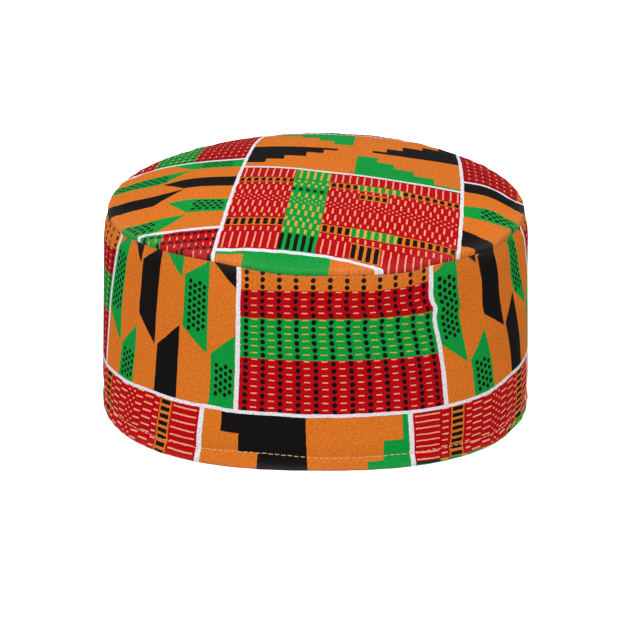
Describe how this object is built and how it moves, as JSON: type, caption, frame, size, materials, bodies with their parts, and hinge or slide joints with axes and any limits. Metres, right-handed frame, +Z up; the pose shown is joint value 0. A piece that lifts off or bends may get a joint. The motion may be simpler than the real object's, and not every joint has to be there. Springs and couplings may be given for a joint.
{
  "type": "kufi hat",
  "caption": "Soft brimless round cap with an upright side band and a gently domed top panel, open below, in a printed strip-weave pattern.",
  "frame": {"origin": "on the floor, under the middle of the rim", "axes": "+Z up through the middle of the crown panel, -Y to the front, +X to the left of a wearer who faces -Y"},
  "size_m": [0.1834, 0.1975, 0.0963],
  "materials": {
    "band_cloth": "printed plain-weave cotton, matt",
    "hem_cloth": "printed plain-weave cotton, matt, turned up inside the rim",
    "crown_cloth": "printed plain-weave cotton, matt"
  },
  "bodies": {
    "root": {"side_band": "band_cloth", "hem_turn_up": "hem_cloth", "crown_panel": "crown_cloth"}
  },
  "joints": []
}
